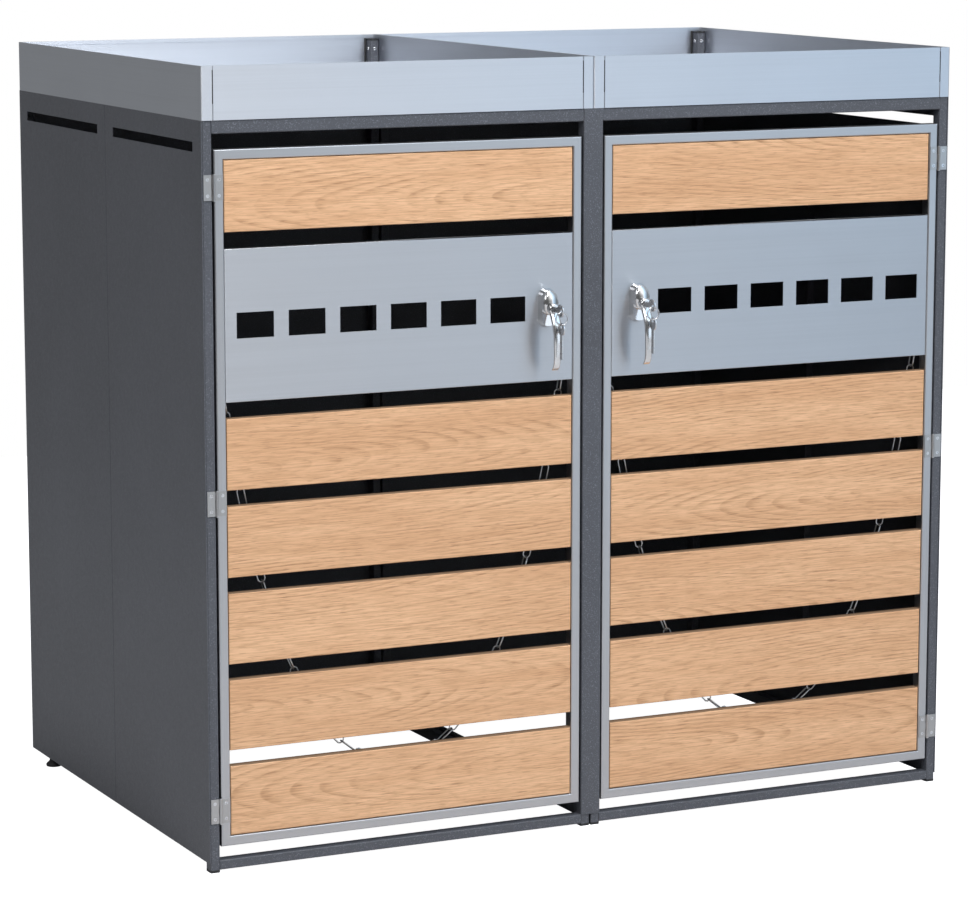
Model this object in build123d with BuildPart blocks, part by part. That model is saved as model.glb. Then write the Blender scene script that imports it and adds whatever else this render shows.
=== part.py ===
"""Bin store with planter: two mirrored modules with slatted doors under a shared row of planters.

Millimetres. X runs to the right, Y to the back and Z up. The origin is on the floor, under the middle of
the whole box. Every piece is drawn for the left module, and the right module is its mirror image.
"""

import os
from math import asinh, atan, ceil, cos, cosh, degrees, isclose, radians, sin, sinh

from build123d import *

os.makedirs("parts", exist_ok=True)

# Driving dimensions: cabinet
module_width = 650.0
body_depth = 825.0
sheet = 1.5
tube_face = 15.0
tube_depth = 20.0
tube_wall = 1.5
tube_round = 2.0
bend_round = 2.0
seam_round = 1.2
foot_height = 4.0
cladding_lift = 14.5

# Driving dimensions: planter
planter_height = 80.0
planter_flange = 17.5
planter_seam = 1.8
rim_hem = 6.0
rim_hem_thickness = 1.2
post_drop = 7.0
tray_upstand = 24.0
tray_clearance = 0.4
drain_radius = 5.0
drain_columns = 3
drain_rows = 4
drain_pitch_x = 190.0
drain_pitch_y = 190.0

# Driving dimensions: side vents
slot_height = 15.0
slot_margin = 35.0
slot_drop = 33.0
seam_flange = 12.0

# Driving dimensions: doors
door_gap = 3.0
door_bottom_clear = 21.0
door_top_clear = 23.0
door_tube_face = 15.0
door_tube_depth = 20.0
board_height = 108.0
board_thickness = 18.0
board_bevel = 1.0
board_groove = 1.2
board_groove_depth = 4.0
board_gap = 25.0
lower_boards = 5
infill_recess = 1.0
panel_height = 230.0
panel_flange = 17.0
panel_round = 1.2

# Driving dimensions: windows of the stainless panel
window_count = 6
window_width = 60.0
window_height = 39.0
window_inset = 19.0
window_lock_gap = 36.5

# Driving dimensions: hinges
hinge_height = 38.0
hinge_inset = 56.0
leaf_width = 14.0
leaf_thickness = 1.5
knuckle_radius = 2.5
knuckle_play = 0.3
pin_radius = 1.3
pin_head_radius = 2.2
pin_head_height = 1.0
hinge_screw_pitch = 24.0
hinge_screw_radius = 1.5
hinge_screw_head_radius = 2.7
hinge_screw_length = 7.0
cross_length = 3.0
cross_width = 0.8
cross_depth = 1.0
running_clearance = 0.05

# Driving dimensions: lock
lock_edge = 45.5
housing_width = 29.0
housing_height = 61.0
housing_corner = 13.0
housing_skirt = 9.0
housing_taper = 18.0
housing_depth = 21.0
boss_half_width = 14.0
boss_half_height = 20.5
boss_draft = 1.5
boss_rise = 9.0
boss_crown = 30.0
boss_round = 5.0
neck_radius = 9.0
neck_length = 9.0
lock_nut_across = 24.0
lock_nut_height = 5.0
spindle_radius = 6.0
spindle_gap = 0.3
hub_radius = 9.5
hub_depth = 10.0
hub_round = 3.0
lever_edge_share = 0.4
cam_reach = 73.0
cam_width = 18.0
cam_thickness = 3.0
cam_clear = 2.0
stub_radius = 4.0
cam_nut_across = 13.0
cam_nut_height = 4.0

# Lever sections: drop below the lock axis, stand-off of its middle from the panel, width, thickness
lever_profile = [
    (2.0, 26.0, 15.0, 8.0),
    (15.0, 31.5, 14.5, 9.0),
    (32.0, 38.0, 14.0, 7.5),
    (58.0, 38.5, 12.0, 6.5),
    (80.0, 37.0, 10.5, 6.0),
    (94.0, 29.0, 11.0, 4.5),
]

# Driving dimensions: keys
plug_radius = 5.0
plug_depth = 9.0
key_thickness = 2.2
key_blade_width = 7.5
key_blade_length = 30.0
key_neck = 7.0
bow_radius = 10.0
bow_hole_radius = 3.0
bow_hole_offset = 4.0
ring_radius = 10.0
ring_wire_radius = 0.9
ring_play = 0.15

# Driving dimensions: chain
chain_wire_radius = 1.2
chain_inner_width = 10.0
chain_pitch = 30.0
chain_slack = 0.3
chain_low = 96.0
chain_end_rise = 96.0
chain_clear = 1.0
chain_pin_radius = 1.8
chain_pin_head_radius = 4.5
chain_pin_head_height = 1.5

# Driving dimensions: fasteners and feet
back_screw_radius = 2.0
back_screw_head_radius = 4.0
back_screw_head_height = 2.2
back_screw_length = 8.0
socket_across = 2.5
socket_depth = 1.4
back_screw_rows = 4
back_screw_inset = 60.0
bolt_radius = 3.0
bolt_head_across = 10.0
bolt_head_height = 4.0
bolt_nut_height = 5.0
bolt_tail = 2.0
bolt_inset = 100.0
plug_play = 0.15
cap_height = 3.0
cap_plug_length = 12.0
glide_radius = 13.0
glide_thickness = 4.0
glide_round = 1.3
glide_slope = 6.0
glide_neck_radius = 7.0
glide_stem_radius = 4.0
glide_stem_length = 12.0
glide_inset = 83.0

# Heights
rail_low = foot_height
rail_low_top = rail_low + tube_face
side_rail_low = cladding_lift
side_rail_low_top = side_rail_low + tube_depth
door_low = rail_low_top + door_bottom_clear
board_count = lower_boards + 1
infill_height = board_count * board_height + panel_height + board_count * board_gap
door_high = door_low + infill_height + 2 * door_tube_face
rail_high_bottom = door_high + door_top_clear
rail_high = rail_high_bottom + tube_depth
planter_top = rail_high + planter_height
post_top = planter_top - post_drop - cap_height

# Front and back planes: the keys and the back screws stand furthest out, and the box is centred
infill_stack = housing_depth + spindle_gap + hub_depth
bow_hole_reach = infill_stack + key_neck + bow_radius + bow_hole_offset - infill_recess
key_reach = bow_hole_reach + bow_radius
front = -(body_depth + back_screw_head_height - key_reach) / 2
back = front + body_depth
post_back = back - sheet
panel_face = front + infill_recess

# Left module: faces of its posts and door, from the outer side to the joint at X = 0
outer = -module_width
outer_post = outer + sheet
outer_post_inside = outer_post + tube_face
inner_post = -sheet
inner_post_inside = inner_post - tube_face
door_left = outer_post_inside + door_gap
door_right = inner_post_inside - door_gap
infill_left = door_left + door_tube_face
infill_right = door_right - door_tube_face
infill_width = infill_right - infill_left
infill_top = door_high - door_tube_face
infill_low = door_low + door_tube_face
panel_top = infill_top - board_height - board_gap
panel_low = panel_top - panel_height
side_middle = (front + post_back) / 2

# Hinge axis and its three heights
hinge_x = outer_post_inside + door_gap / 2
hinge_y = front - knuckle_radius
hinge_heights = [door_low + hinge_inset, (door_low + door_high) / 2, door_high - hinge_inset]
leaf_reach = door_gap / 2 + leaf_width
leaf_root = knuckle_radius + knuckle_play
screw_offset = (leaf_reach + leaf_root) / 2

# Windows, spread between the hinge side and the lock, and the lock axis
lock_x = infill_right - lock_edge
window_first = infill_left + window_inset + window_width / 2
window_last = lock_x - window_lock_gap - window_width / 2
window_pitch = (window_last - window_first) / (window_count - 1)
lock_z = (panel_low + panel_top) / 2
housing_front = panel_face - housing_depth
hub_back = housing_front - spindle_gap
hub_front = hub_back - hub_depth
cam_front = front + door_tube_depth + cam_clear
cam_back = cam_front + cam_thickness

MIN3 = (Align.MIN, Align.MIN, Align.MIN)
UPRIGHT = (Align.CENTER, Align.CENTER, Align.MIN)
HALVINGS = 60


def facing(x, y, z, way=-1):
    """A plane at a point, whose own Z axis points to the front (-1) or to the back (1)."""
    return Plane(origin=(x, y, z), x_dir=(1, 0, 0), z_dir=(0, way, 0))


def slab(low, high):
    """A plain block between two corners."""
    with BuildPart() as block:
        with Locations(low):
            Box(*(b - a for a, b in zip(low, high)), align=MIN3)
    return block.part


def tube(low, high, along):
    """A round-cornered tube between two corners, open at its ends on the axis named by its index."""
    across = 1 if along == 0 else 0
    middle = [(a + b) / 2 for a, b in zip(low, high)]
    middle[along] = low[along]
    spans = [b - a for a, b in zip(low, high)]
    other = 3 - along - across
    x_dir = tuple(float(axis == across) for axis in range(3))
    z_dir = tuple(float(axis == along) for axis in range(3))
    with BuildPart() as bar:
        with BuildSketch(Plane(origin=tuple(middle), x_dir=x_dir, z_dir=z_dir)):
            RectangleRounded(spans[across], spans[other], tube_round)
            hollow = (spans[across] - 2 * tube_wall, spans[other] - 2 * tube_wall)
            RectangleRounded(*hollow, tube_round - tube_wall, mode=Mode.SUBTRACT)
        extrude(amount=spans[along])
    return bar.part


def drilled(piece, radius, depth, planes):
    """The piece with a round hole of one radius and depth sunk from each plane along its own Z."""
    with BuildPart() as drill:
        add(piece)
        for plane in planes:
            with Locations(plane):
                Cylinder(radius, depth, align=UPRIGHT, mode=Mode.SUBTRACT)
    return drill.part


def save(name, pieces):
    """Write one node from the solids that belong to it."""
    node = pieces[0] if len(pieces) == 1 else Compound(children=pieces)
    node.label = name
    export_step(node, f"parts/{name}.step")


def mirrored(pieces):
    """The same pieces on the right module."""
    return [mirror(piece, about=Plane.YZ) for piece in pieces]


def save_pair(name, pieces):
    """Write the left module's node and its mirror image."""
    save(f"right_{name}", mirrored(pieces))
    save(f"left_{name}", pieces)


def save_shared(name, pieces):
    """Write one node that holds the pieces of both modules."""
    save(name, mirrored(pieces) + pieces)


# Tube frame

POST_SPANS = [(outer_post, outer_post_inside), (inner_post_inside, inner_post)]
bolt_heights = [side_rail_low + tube_depth / 2, rail_high_bottom + tube_depth / 2]
bolt_y = [front + bolt_inset, post_back - bolt_inset]
hinge_screw_heights = [z + side * hinge_screw_pitch / 2 for z in hinge_heights for side in (-1, 1)]
back_screw_low = side_rail_low_top + back_screw_inset
back_screw_step = (rail_high_bottom - back_screw_inset - back_screw_low) / (back_screw_rows - 1)
back_screw_heights = [back_screw_low + n * back_screw_step for n in range(back_screw_rows)]
glide_x = (outer_post + outer_post_inside) / 2
glide_y = back - glide_inset


def post(span, y_low, z_low=rail_low):
    return tube((span[0], y_low, z_low), (span[1], y_low + tube_depth, post_top), along=2)


def low_rail(y_low, z_low):
    high = (inner_post_inside, y_low + tube_depth, z_low + tube_face)
    return tube((outer_post_inside, y_low, z_low), high, along=0)


def high_rail(y_low):
    high = (inner_post_inside, y_low + tube_face, rail_high)
    return tube((outer_post_inside, y_low, rail_high_bottom), high, along=0)


def front_frame():
    hole = hinge_screw_radius + running_clearance
    x_hole = hinge_x - screw_offset
    holes = [facing(x_hole, front, z, 1) for z in hinge_screw_heights]
    outer_bar = drilled(post(POST_SPANS[0], front), hole, tube_wall, holes)
    return [outer_bar, post(POST_SPANS[1], front), low_rail(front, rail_low), high_rail(front)]


def rear_frame():
    """The rear posts and rails. The outer post ends level with the cladding, and the inner one on a foot."""
    y_low = post_back - tube_depth
    hole = back_screw_radius + running_clearance
    bars = []
    for span, z_low in zip(POST_SPANS, (cladding_lift, rail_low)):
        x_hole = (span[0] + span[1]) / 2
        holes = [facing(x_hole, post_back, z) for z in back_screw_heights]
        bars.append(drilled(post(span, y_low, z_low), hole, tube_wall, holes))
    return bars + [low_rail(y_low, cladding_lift), high_rail(post_back - tube_face)]


def side_rails():
    y_low = front + tube_depth
    y_high = post_back - tube_depth
    bars = []
    for a, b in POST_SPANS:
        bars.append(tube((a, y_low, side_rail_low), (b, y_high, side_rail_low_top), along=1))
        bars.append(tube((a, y_low, rail_high_bottom), (b, y_high, rail_high), along=1))
    stem_hole = Plane(origin=(glide_x, glide_y, side_rail_low))
    bars[0] = drilled(bars[0], glide_stem_radius + running_clearance, tube_wall, [stem_hole])
    for bar, z in zip((2, 3), bolt_heights):
        holes = [Plane(origin=(inner_post_inside, y, z), z_dir=(1, 0, 0)) for y in bolt_y]
        bars[bar] = drilled(bars[bar], bolt_radius + running_clearance, tube_face, holes)
    return bars


def joint_cover():
    """The flat strip over the front joint of the two modules, from the lower rails up to the planter."""
    with BuildPart() as strip:
        add(slab((inner_post_inside, front - sheet, rail_low_top), (-inner_post_inside, front, rail_high)))
        fillet(strip.faces().sort_by(Axis.Y)[0].edges().filter_by(Axis.Z), radius=seam_round)
    return strip.part


def tube_plug(span, y_low, z, height, way):
    """A plastic insert whose flange closes a tube end at height z and whose plug goes into the tube."""
    x = (span[0] + span[1]) / 2
    y = y_low + tube_depth / 2
    inset = 2 * (tube_wall + plug_play)
    with BuildPart() as plug:
        with BuildSketch(Plane(origin=(x, y, z), x_dir=(1, 0, 0), z_dir=(0, 0, way))):
            RectangleRounded(tube_face, tube_depth, tube_wall)
        extrude(amount=height)
        with BuildSketch(Plane(origin=(x, y, z), x_dir=(1, 0, 0), z_dir=(0, 0, -way))):
            Rectangle(tube_face - inset, tube_depth - inset)
        extrude(amount=cap_plug_length)
    return plug.part


def rear_glide():
    """The round glide under the outer side rail: a sloping foot, its neck and the stem up in the tube."""
    with BuildPart(Plane(origin=(glide_x, glide_y, 0))) as glide:
        Cylinder(glide_radius, glide_thickness, align=UPRIGHT)
        fillet(glide.edges().filter_by(GeomType.CIRCLE).sort_by(Axis.Z)[0], radius=glide_round)
        with Locations((0, 0, glide_thickness)):
            Cone(glide_radius, glide_neck_radius, glide_slope, align=UPRIGHT)
        Cylinder(glide_neck_radius, side_rail_low, align=UPRIGHT)
        Cylinder(glide_stem_radius, side_rail_low + glide_stem_length, align=UPRIGHT)
    return glide.part


save_pair("front_frame", front_frame())
save_pair("rear_frame", rear_frame())
save_pair("side_rails", side_rails())
save("joint_cover", [joint_cover()])
post_rows = [(span, y) for span in POST_SPANS for y in (front, post_back - tube_depth)]
save_shared("post_caps", [tube_plug(span, y, post_top, cap_height, 1) for span, y in post_rows])
foot_rows = post_rows[:1] + post_rows[2:]
save_shared("post_feet", [tube_plug(span, y, rail_low, foot_height, -1) for span, y in foot_rows])
save_shared("rear_glides", [rear_glide()])


# Cladding


def side_panel(y_low, y_high, seam_y):
    """One side sheet with its vent slot and a return flange along the seam between the two sheets."""
    slot_top = rail_high - slot_drop
    y_flange = seam_y if seam_y == y_low else seam_y - sheet
    with BuildPart() as panel:
        with Locations((outer, y_low, cladding_lift)):
            Box(sheet, y_high - y_low, rail_high - cladding_lift, align=MIN3)
        spots = [(edge, edge.center()) for edge in panel.edges().filter_by(Axis.Z)]
        seam = [edge for edge, at in spots if isclose(at.X, outer) and isclose(at.Y, seam_y)]
        fillet(seam, radius=seam_round)
        with Locations((outer_post, y_flange, side_rail_low_top)):
            Box(seam_flange, sheet, slot_top - slot_height - slot_drop - side_rail_low_top, align=MIN3)
        with Locations((outer, y_low + slot_margin, slot_top - slot_height)):
            Box(sheet, y_high - y_low - 2 * slot_margin, slot_height, align=MIN3, mode=Mode.SUBTRACT)
    return panel.part


def back_panel():
    sheet_back = slab((outer, post_back, cladding_lift), (0, back, rail_high))
    holes = [facing((a + b) / 2, back, z) for a, b in POST_SPANS for z in back_screw_heights]
    return drilled(sheet_back, back_screw_radius + running_clearance, sheet, holes)


def back_screw(x, z):
    with BuildPart() as screw:
        with BuildSketch(facing(x, back, z, 1)):
            Circle(back_screw_head_radius)
        extrude(amount=back_screw_head_height)
        fillet(screw.faces().sort_by(Axis.Y)[-1].edges(), radius=back_screw_head_height / 2)
        with BuildSketch(facing(x, back, z)):
            Circle(back_screw_radius)
        extrude(amount=back_screw_length)
        with BuildSketch(facing(x, back + back_screw_head_height, z)):
            RegularPolygon(socket_across / 2, 6, major_radius=False)
        extrude(amount=socket_depth, mode=Mode.SUBTRACT)
    return screw.part


save_pair("side_panel_front", [side_panel(front, side_middle, side_middle)])
save_pair("side_panel_rear", [side_panel(side_middle, post_back, side_middle)])
save_pair("back_panel", [back_panel()])
screw_columns = [(a + b) / 2 for a, b in POST_SPANS]
save_shared("back_screws", [back_screw(x, z) for x in screw_columns for z in back_screw_heights])


# Module bolts


def module_bolt(y, z):
    """A bolt through two inner side rails, with its head in the left module and its nut in the right one."""
    length = 2 * (tube_face + sheet) + bolt_nut_height + bolt_tail
    with BuildPart() as bolt:
        with BuildSketch(Plane(origin=(inner_post_inside, y, z), z_dir=(-1, 0, 0))):
            RegularPolygon(bolt_head_across / 2, 6, major_radius=False)
        extrude(amount=bolt_head_height)
        with BuildSketch(Plane(origin=(inner_post_inside, y, z), z_dir=(1, 0, 0))):
            Circle(bolt_radius)
        extrude(amount=length)
    with BuildPart() as nut:
        with BuildSketch(Plane(origin=(-inner_post_inside, y, z), z_dir=(1, 0, 0))):
            RegularPolygon(bolt_head_across / 2, 6, major_radius=False)
            Circle(bolt_radius + running_clearance, mode=Mode.SUBTRACT)
        extrude(amount=bolt_nut_height)
    return [bolt.part, nut.part]


bolt_spots = [(y, z) for y in bolt_y for z in bolt_heights]
save("module_bolts", [piece for y, z in bolt_spots for piece in module_bolt(y, z)])


# Planter


def is_outer_corner(edge, x_out):
    """Whether an upright edge is a folded outer corner of the wall whose outside lies at x_out."""
    spot = edge.center()
    return isclose(spot.X, x_out) and any(isclose(spot.Y, y) for y in (front - sheet, back))


def side_wall(x_out, x_in, flange_way):
    """A planter side wall between x_out and x_in, with flanges at both ends and a hemmed rim."""
    flange_x = min(x_out, x_out + flange_way * planter_flange)
    hem_x = min(x_in, x_in + flange_way * rim_hem_thickness)
    with BuildPart() as wall:
        with Locations((min(x_out, x_in), front - sheet, rail_high)):
            Box(sheet, back - front + sheet, planter_height, align=MIN3)
        for y in (front - sheet, post_back):
            with Locations((flange_x, y, rail_high)):
                Box(planter_flange, sheet, planter_height, align=MIN3)
        corners = wall.edges().filter_by(Axis.Z).group_by(SortBy.LENGTH)[-1]
        fillet([edge for edge in corners if is_outer_corner(edge, x_out)], radius=bend_round)
        with Locations((hem_x, front, planter_top - rim_hem)):
            Box(rim_hem_thickness, post_back - front, rim_hem, align=MIN3)
    return wall.part


def end_wall(y_low, hem_y):
    """A planter front or back wall, a seam's width from the side walls' flanges, with a hemmed rim."""
    inset = planter_flange + planter_seam
    hem_span = module_width - 2 * (sheet + rim_hem_thickness)
    with BuildPart() as wall:
        with Locations((outer + inset, y_low, rail_high)):
            Box(module_width - 2 * inset, sheet, planter_height, align=MIN3)
        with Locations((outer + sheet + rim_hem_thickness, hem_y, planter_top - rim_hem)):
            Box(hem_span, rim_hem_thickness, rim_hem, align=MIN3)
    return wall.part


def tray():
    """The planter's floor: a folded sheet on the upper rails, notched round the posts and drained."""
    x_low = outer_post
    length_x = inner_post - outer_post
    length_y = post_back - front
    notch_x = tube_face + tray_clearance
    notch_y = tube_depth + tray_clearance
    run_x = length_x - 2 * notch_x
    run_y = length_y - 2 * notch_y
    middle = (x_low + length_x / 2, front + length_y / 2)
    with BuildPart() as floor:
        with BuildSketch(Plane.XY.offset(rail_high)):
            with Locations(middle):
                Rectangle(run_x, length_y)
                Rectangle(length_x, run_y)
                with GridLocations(drain_pitch_x, drain_pitch_y, drain_columns, drain_rows):
                    Circle(drain_radius, mode=Mode.SUBTRACT)
        extrude(amount=sheet)
        with BuildSketch(Plane.XY.offset(rail_high)):
            with Locations(middle):
                with GridLocations(0, length_y - sheet, 1, 2):
                    Rectangle(run_x, sheet)
                with GridLocations(length_x - sheet, 0, 2, 1):
                    Rectangle(sheet, run_y)
        extrude(amount=tray_upstand)
    return floor.part


save_pair("planter_front", [end_wall(front - sheet, front)])
save_pair("planter_back", [end_wall(post_back, post_back - rim_hem_thickness)])
save_pair("planter_outer_wall", [side_wall(outer, outer_post, 1)])
save_pair("planter_inner_wall", [side_wall(0, inner_post, -1)])
save_pair("planter_tray", [tray()])


# Hinges


def knuckle_bands(height):
    """Three knuckles of one hinge: the outer two belong to the post and the middle one to the door."""
    third = hinge_height / 3
    edges = [height - hinge_height / 2 + n * third for n in range(4)]
    post_bands = [(edges[0], edges[1]), (edges[2], edges[3])]
    door_bands = [(edges[1] + knuckle_play, edges[2] - knuckle_play)]
    return post_bands, door_bands


def hinge_leaf(height, way, bands):
    """One leaf on the front face, to the post side (way -1) or the door side (way 1) of the pin."""
    plate_x = min(hinge_x + way * leaf_root, hinge_x + way * leaf_reach)
    root_x = min(hinge_x, hinge_x + way * leaf_root)
    x_hole = hinge_x + way * screw_offset
    play = running_clearance
    with BuildPart() as leaf:
        with Locations((plate_x, front - leaf_thickness, height - hinge_height / 2)):
            Box(leaf_reach - leaf_root, leaf_thickness, hinge_height, align=MIN3)
        for low, high in bands:
            with Locations((root_x, front - leaf_thickness, low)):
                Box(leaf_root, leaf_thickness, high - low, align=MIN3)
            with Locations((hinge_x, hinge_y, low)):
                Cylinder(knuckle_radius, high - low, align=UPRIGHT)
        with Locations((hinge_x, hinge_y, height)):
            Cylinder(pin_radius + play, hinge_height, mode=Mode.SUBTRACT)
        for side in (-1, 1):
            z_hole = height + side * hinge_screw_pitch / 2
            with Locations(facing(x_hole, front - leaf_thickness, z_hole, 1)):
                Cone(
                    hinge_screw_head_radius + play,
                    hinge_screw_radius + play,
                    leaf_thickness,
                    align=UPRIGHT,
                    mode=Mode.SUBTRACT,
                )
    return leaf.part


def hinge_pin(height):
    with BuildPart() as pin:
        with BuildSketch(Plane(origin=(hinge_x, hinge_y, height - hinge_height / 2))):
            Circle(pin_radius)
        extrude(amount=hinge_height)
        for side in (-1, 1):
            z_end = height + side * hinge_height / 2
            with BuildSketch(Plane(origin=(hinge_x, hinge_y, z_end), z_dir=(0, 0, side))):
                Circle(pin_head_radius)
            extrude(amount=pin_head_height)
    return pin.part


def hinge_screw(x, z):
    with BuildPart(facing(x, front - leaf_thickness, z, 1)) as screw:
        Cone(hinge_screw_head_radius, hinge_screw_radius, leaf_thickness, align=UPRIGHT)
        Cylinder(hinge_screw_radius, hinge_screw_length, align=UPRIGHT)
        for length_x, length_y in ((cross_length, cross_width), (cross_width, cross_length)):
            Box(length_x, length_y, cross_depth, align=UPRIGHT, mode=Mode.SUBTRACT)
    return screw.part


save_shared("hinge_post_leaves", [hinge_leaf(z, -1, knuckle_bands(z)[0]) for z in hinge_heights])
post_screws = [hinge_screw(hinge_x - screw_offset, z) for z in hinge_screw_heights]
save_shared("hinge_pins_and_screws", [hinge_pin(z) for z in hinge_heights] + post_screws)
save_pair("door_hinge_leaves", [hinge_leaf(z, 1, knuckle_bands(z)[1]) for z in hinge_heights])


# Doors


def mitred_bar(low, high, along, corners):
    """A door tube whose two ends are cut on the slant through the frame's corners."""
    with BuildPart() as bar:
        add(tube(low, high, along))
        for point, normal in corners:
            split(bisect_by=Plane(origin=point, z_dir=normal), keep=Keep.TOP)
    return bar.part


def door_frame():
    y_low = front
    y_high = front + door_tube_depth
    bars = []
    for x_edge, way in ((door_left, 1), (door_right, -1)):
        x_inside = x_edge + way * door_tube_face
        low = (min(x_edge, x_inside), y_low, door_low)
        high = (max(x_edge, x_inside), y_high, door_high)
        cuts = [((x_edge, front, door_low), (-way, 0, 1)), ((x_edge, front, door_high), (-way, 0, -1))]
        bars.append(mitred_bar(low, high, 2, cuts))
    for z_edge, way in ((door_low, 1), (door_high, -1)):
        z_inside = z_edge + way * door_tube_face
        low = (door_left, y_low, min(z_edge, z_inside))
        high = (door_right, y_high, max(z_edge, z_inside))
        cuts = [((door_left, front, z_edge), (1, 0, -way)), ((door_right, front, z_edge), (-1, 0, -way))]
        bars.append(mitred_bar(low, high, 0, cuts))
    holes = [facing(hinge_x + screw_offset, front, z, 1) for z in hinge_screw_heights]
    bars[0] = drilled(bars[0], hinge_screw_radius + running_clearance, tube_wall, holes)
    pins = [facing(x, y_high, z) for x, z in chain_ends()]
    for bar, plane in ((0, pins[0]), (1, pins[1])):
        bars[bar] = drilled(bars[bar], chain_pin_radius + running_clearance, tube_wall, [plane])
    return bars


def board(z_top):
    """A slat whose face is cut back where it meets the door frame, so that a shadow line shows there."""
    z_low = z_top - board_height
    face_low = z_low + board_groove if isclose(z_low, infill_low) else z_low
    face_high = z_top - board_groove if isclose(z_top, infill_top) else z_top
    core_y = panel_face + board_groove_depth
    with BuildPart() as slat:
        with Locations((infill_left, core_y, z_low)):
            Box(infill_width, board_thickness - board_groove_depth, board_height, align=MIN3)
        with Locations((infill_left + board_groove, panel_face, face_low)):
            Box(infill_width - 2 * board_groove, board_groove_depth, face_high - face_low, align=MIN3)
        chamfer(slat.faces().sort_by(Axis.Y)[0].edges(), length=board_bevel)
    return slat.part


def window_panel():
    """The stainless panel: a shallow folded tray with a row of windows and the lock's hole."""
    centre = (window_first + window_last) / 2
    hollow = (infill_width - 2 * sheet, panel_flange, panel_height - 2 * sheet)
    with BuildPart() as panel:
        with Locations((infill_left, panel_face, panel_low)):
            Box(infill_width, panel_flange, panel_height, align=MIN3)
        fillet(panel.faces().sort_by(Axis.Y)[0].edges(), radius=panel_round)
        with Locations((infill_left + sheet, panel_face + sheet, panel_low + sheet)):
            Box(*hollow, align=MIN3, mode=Mode.SUBTRACT)
        with BuildSketch(facing(centre, panel_face, lock_z, 1)):
            with GridLocations(window_pitch, 0, window_count, 1):
                Rectangle(window_width, window_height)
        extrude(amount=sheet, mode=Mode.SUBTRACT)
        with BuildSketch(facing(lock_x, panel_face, lock_z, 1)):
            Circle(neck_radius + running_clearance)
        extrude(amount=sheet, mode=Mode.SUBTRACT)
    return panel.part


# Lock


def lock_housing():
    """The fixed escutcheon with its domed boss and neck, and the nut that holds it from behind."""
    neck_end = panel_face + neck_length
    bore = spindle_radius + running_clearance
    with BuildPart() as boss:
        for y, draft in ((panel_face, 0), (housing_front, boss_draft)):
            with BuildSketch(facing(lock_x, y, lock_z + boss_rise)):
                Ellipse(boss_half_width - draft, boss_half_height - draft)
        loft()
        with Locations((lock_x, housing_front + boss_crown, lock_z + boss_rise)):
            Sphere(boss_crown, mode=Mode.INTERSECT)
        fillet(boss.faces().sort_by(Axis.Y)[0].edges(), radius=boss_round)
    with BuildPart() as housing:
        with BuildSketch(facing(lock_x, panel_face, lock_z)):
            RectangleRounded(housing_width, housing_height, housing_corner)
        extrude(amount=housing_skirt, taper=housing_taper)
        add(boss.part)
        with BuildSketch(facing(lock_x, panel_face, lock_z, 1)):
            Circle(neck_radius)
        extrude(amount=neck_length)
        with BuildSketch(facing(lock_x, neck_end, lock_z)):
            Circle(bore)
        extrude(amount=neck_length + housing_depth, mode=Mode.SUBTRACT)
    with BuildPart() as nut:
        with BuildSketch(facing(lock_x, panel_face + sheet, lock_z, 1)):
            RegularPolygon(lock_nut_across / 2, 6, major_radius=False)
            Circle(neck_radius + running_clearance, mode=Mode.SUBTRACT)
        extrude(amount=lock_nut_height)
    return [housing.part, nut.part]


def lever_section(drop, stand_off, width, thickness):
    """One level section of the lever, a given drop below the lock axis."""
    with BuildSketch(Plane(origin=(lock_x, panel_face - stand_off, lock_z - drop))) as section:
        RectangleRounded(width, thickness, thickness * lever_edge_share)
    return section.sketch


def handle():
    """Lever handle: round hub, tapering lever with a curled tip, spindle and the stub for the cam."""
    with BuildPart() as body:
        with BuildSketch(facing(lock_x, hub_back, lock_z)):
            Circle(hub_radius)
        extrude(amount=hub_depth)
        fillet(body.faces().sort_by(Axis.Y)[0].edges(), radius=hub_round)
        loft([lever_section(*row) for row in lever_profile])
        with BuildSketch(facing(lock_x, hub_back, lock_z, 1)):
            Circle(spindle_radius)
        extrude(amount=cam_front - hub_back)
        with BuildSketch(facing(lock_x, cam_front, lock_z, 1)):
            Circle(stub_radius)
        extrude(amount=cam_thickness + cam_nut_height)
        with BuildSketch(facing(lock_x, hub_front, lock_z, 1)):
            Circle(plug_radius + running_clearance)
        extrude(amount=plug_depth, mode=Mode.SUBTRACT)
    return [body.part]


def cam():
    """The locking cam, standing up and clear of the post at rest, and the nut that holds it."""
    bore = stub_radius + running_clearance
    with BuildPart() as tongue:
        with BuildSketch(facing(lock_x, cam_front, lock_z, 1)):
            with Locations((0, -(cam_reach - cam_width / 2) / 2)):
                SlotOverall(cam_reach + cam_width / 2, cam_width, rotation=90)
            Circle(bore, mode=Mode.SUBTRACT)
        extrude(amount=cam_thickness)
    with BuildPart() as nut:
        with BuildSketch(facing(lock_x, cam_back, lock_z, 1)):
            RegularPolygon(cam_nut_across / 2, 6, major_radius=False)
            Circle(bore, mode=Mode.SUBTRACT)
        extrude(amount=cam_nut_height)
    return [tongue.part, nut.part]


# Keys


def key_outline(blade_length, hole_shift):
    """A key in its own plane: the blade points along -X, and the bow is centred past the neck."""
    bow_x = key_neck + bow_radius
    with BuildSketch(Plane.XY) as outline:
        with Locations((bow_x, 0)):
            Circle(bow_radius)
        with Locations(((bow_x - blade_length) / 2, 0)):
            Rectangle(bow_x + blade_length, key_blade_width)
        with Locations((bow_x + hole_shift, 0)):
            Circle(bow_hole_radius, mode=Mode.SUBTRACT)
    return outline.sketch


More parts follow.
